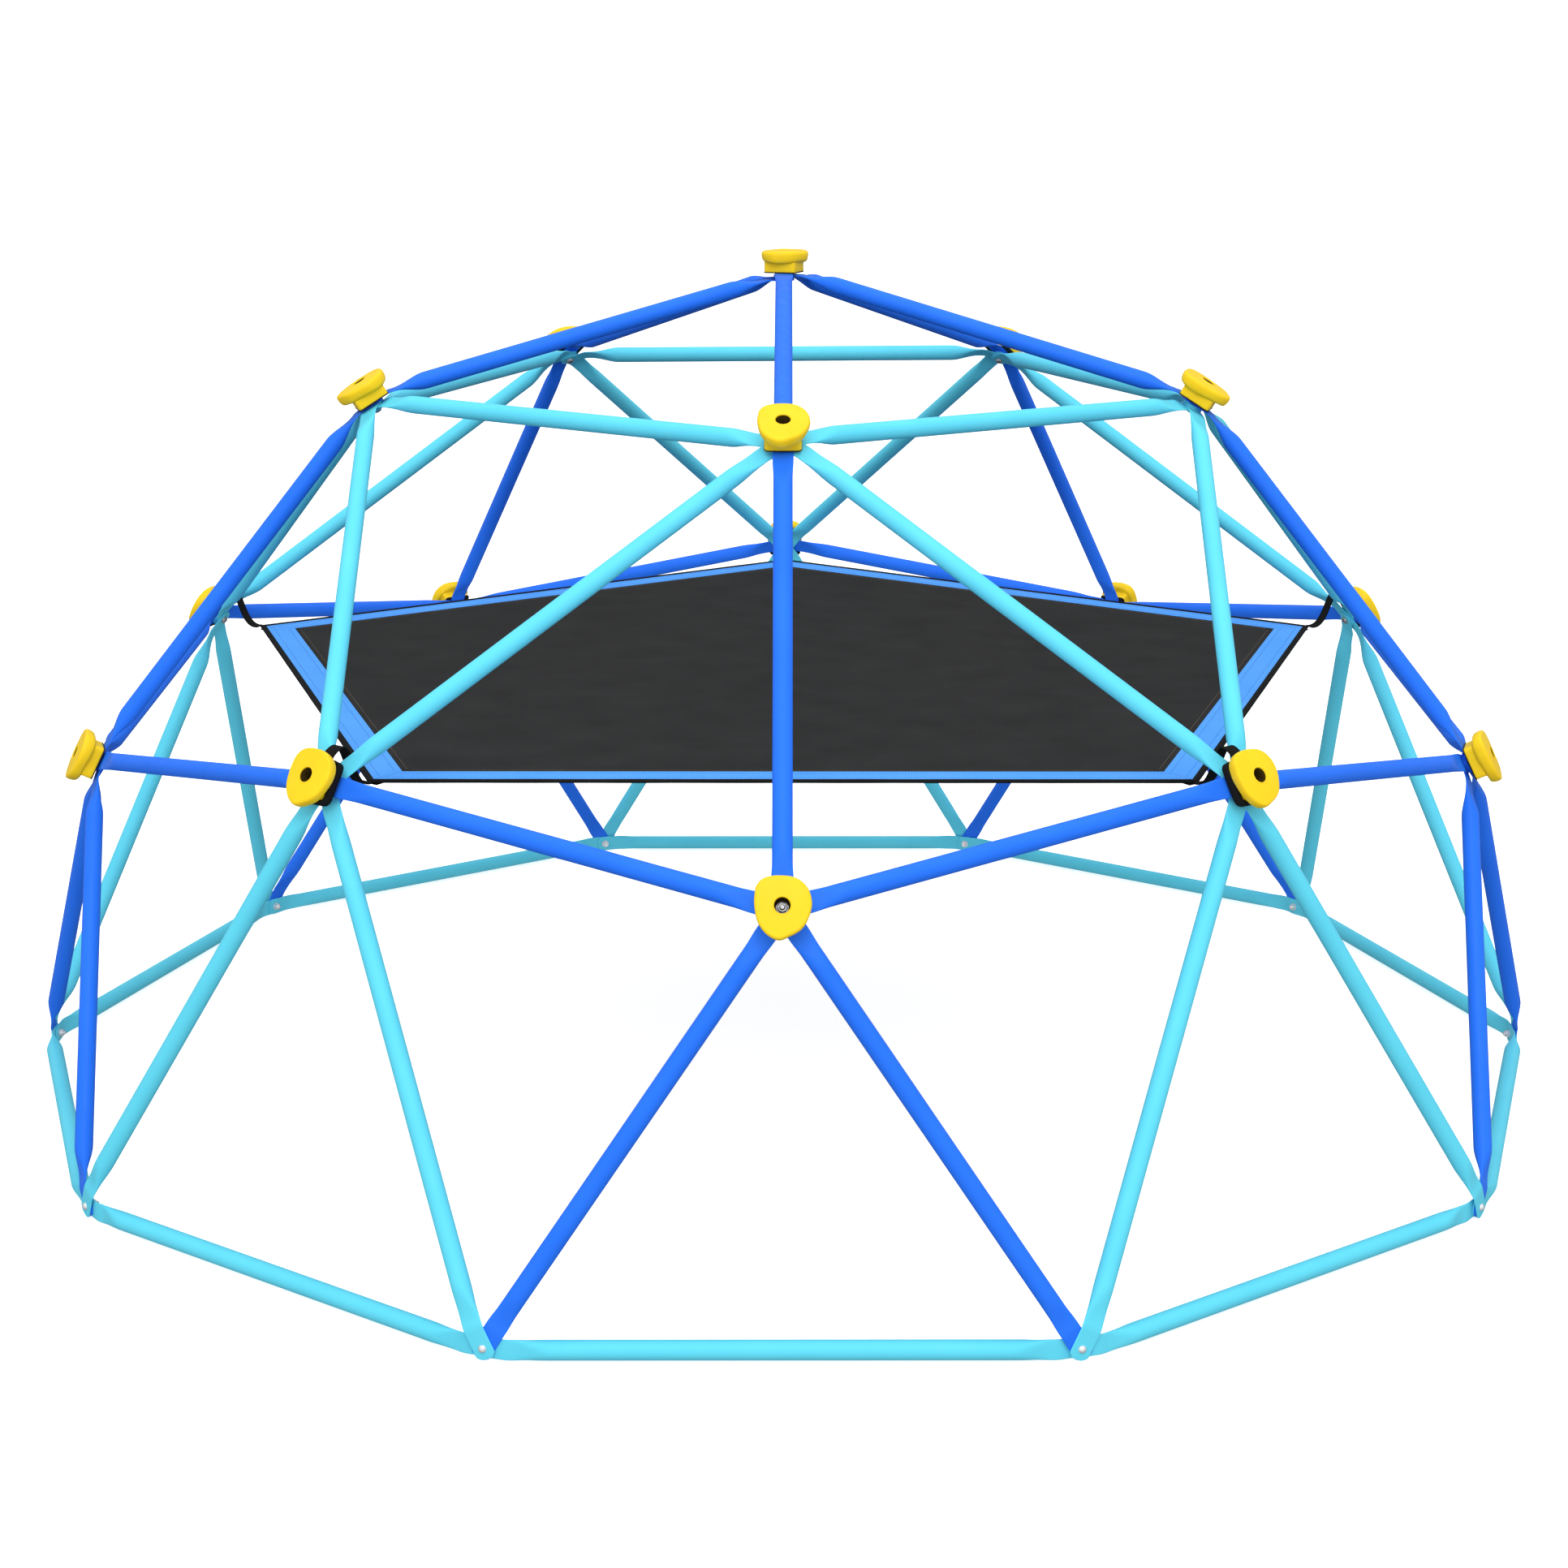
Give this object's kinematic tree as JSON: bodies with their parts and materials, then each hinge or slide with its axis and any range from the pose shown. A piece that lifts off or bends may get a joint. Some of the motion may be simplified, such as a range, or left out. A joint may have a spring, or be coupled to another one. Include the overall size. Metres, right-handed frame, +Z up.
{
  "type": "dome climber",
  "caption": "Geodesic dome climber of bolted steel tubes with climbing grips on its hubs and a five-sided hammock mat hung inside.",
  "frame": {"origin": "on the ground, under the middle of the dome", "axes": "+Z up; -Y is the front, where a base rail faces the viewer under a vertex hub; +X to the viewer's right"},
  "size_m": [3.0224, 2.9042, 1.6077],
  "materials": {
    "blue_tube": "gloss powder coat, mid blue",
    "cyan_tube": "gloss powder coat, light sky blue",
    "grip_plastic": "satin moulded plastic, bright yellow",
    "pad_rubber": "black rubber",
    "zinc_fastener": "zinc plated",
    "mat_fabric": "woven charcoal fabric",
    "mat_border": "coated fabric, light blue, stitched",
    "webbing": "black woven webbing"
  },
  "bodies": {
    "frame": {"apex_strut_1": "blue_tube", "apex_strut_2": "blue_tube", "apex_strut_3": "blue_tube", "apex_strut_4": "blue_tube", "apex_strut_5": "blue_tube", "upper_strut_1": "blue_tube", "upper_strut_2": "blue_tube", "upper_strut_3": "blue_tube", "upper_strut_4": "blue_tube", "upper_strut_5": "blue_tube", "band_strut_pair_1": "blue_tube", "band_strut_pair_2": "blue_tube", "band_strut_pair_3": "blue_tube", "band_strut_pair_4": "blue_tube", "band_strut_pair_5": "blue_tube", "vertex_leg_pair_1": "blue_tube", "vertex_leg_pair_2": "blue_tube", "vertex_leg_pair_3": "blue_tube", "vertex_leg_pair_4": "blue_tube", "vertex_leg_pair_5": "blue_tube", "top_ring_strut_1": "cyan_tube", "top_ring_strut_2": "cyan_tube", "top_ring_strut_3": "cyan_tube", "top_ring_strut_4": "cyan_tube", "top_ring_strut_5": "cyan_tube", "upper_brace_pair_1": "cyan_tube", "upper_brace_pair_2": "cyan_tube", "upper_brace_pair_3": "cyan_tube", "upper_brace_pair_4": "cyan_tube", "upper_brace_pair_5": "cyan_tube", "brace_leg_pair_1": "cyan_tube", "brace_leg_pair_2": "cyan_tube", "brace_leg_pair_3": "cyan_tube", "brace_leg_pair_4": "cyan_tube", "brace_leg_pair_5": "cyan_tube", "base_rail_pair_1": "cyan_tube", "base_rail_pair_2": "cyan_tube", "base_rail_pair_3": "cyan_tube", "base_rail_pair_4": "cyan_tube", "base_rail_pair_5": "cyan_tube", "apex_grip": "grip_plastic", "upper_grips": "grip_plastic", "vertex_grips": "grip_plastic", "mid_grips": "grip_plastic", "grip_pads": "pad_rubber", "grip_bolts": "zinc_fastener", "grip_washers": "zinc_fastener", "grip_nuts": "zinc_fastener", "base_bolts": "zinc_fastener", "base_washers": "zinc_fastener", "base_nuts": "zinc_fastener", "corner_strap_1": "webbing", "corner_strap_2": "webbing", "corner_strap_3": "webbing", "corner_strap_4": "webbing", "corner_strap_5": "webbing"},
    "mat": {"mat_panel": "mat_fabric", "mat_border": "mat_border", "mat_edging": "webbing"}
  },
  "joints": [
    {"name": "mat_sag", "type": "slide", "parent": "frame", "child": "mat", "axis": [0, 0, 1], "range_m": [-0.08, 0], "stiffness_N_per_m": 3000, "springref_m": 0.02}
  ]
}
